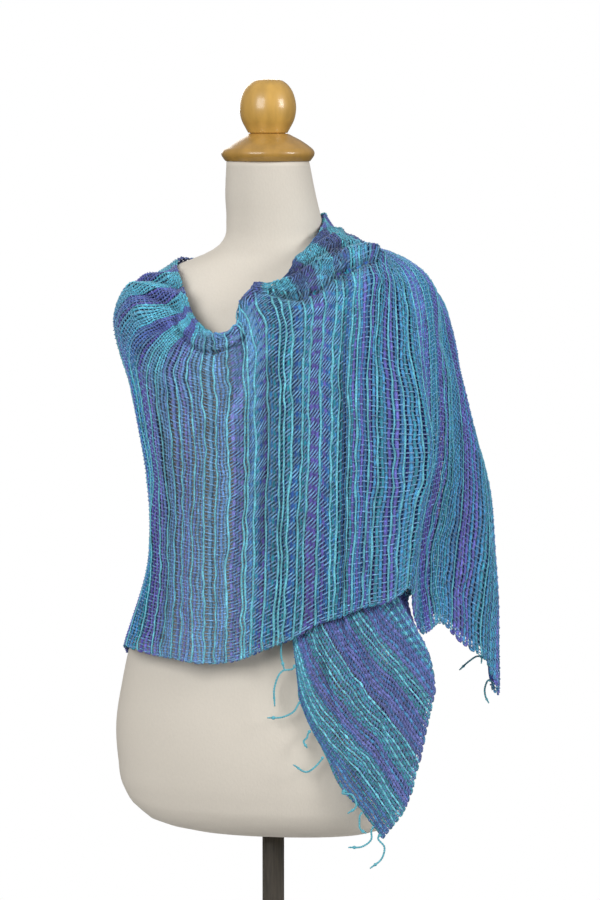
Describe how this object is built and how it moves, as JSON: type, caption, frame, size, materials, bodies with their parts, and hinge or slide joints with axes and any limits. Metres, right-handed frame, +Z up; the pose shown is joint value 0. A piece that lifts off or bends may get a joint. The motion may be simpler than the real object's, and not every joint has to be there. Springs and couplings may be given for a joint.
{
  "type": "scarf on a dress form",
  "caption": "Open-weave striped scarf with corded ends, wrapped round the shoulders of a limbless dress form on a post and a round base.",
  "frame": {"origin": "centre of the base's flat underside", "axes": "+Z up along the post, the front of the form towards -Y, +X to the viewer's right"},
  "size_m": [0.4665, 0.3, 1.1586],
  "materials": {
    "thread_net": "matt open weave of fine cotton in turquoise, blue and purple",
    "twisted_cord": "matt twisted cotton cord",
    "form_cover": "matt cream jersey",
    "varnished_wood": "honey-coloured varnished wood",
    "dark_stand": "dark grey-brown satin"
  },
  "bodies": {
    "root": {"thrown_end": "thread_net", "front_stretch": "thread_net", "back_stretch": "thread_net", "hanging_end": "thread_net", "fringe_front": "twisted_cord", "fringe_back": "twisted_cord", "dress_form": "form_cover", "neck_cap": "varnished_wood", "knob": "varnished_wood", "stand_post": "dark_stand", "stand_base": "dark_stand"}
  },
  "joints": []
}
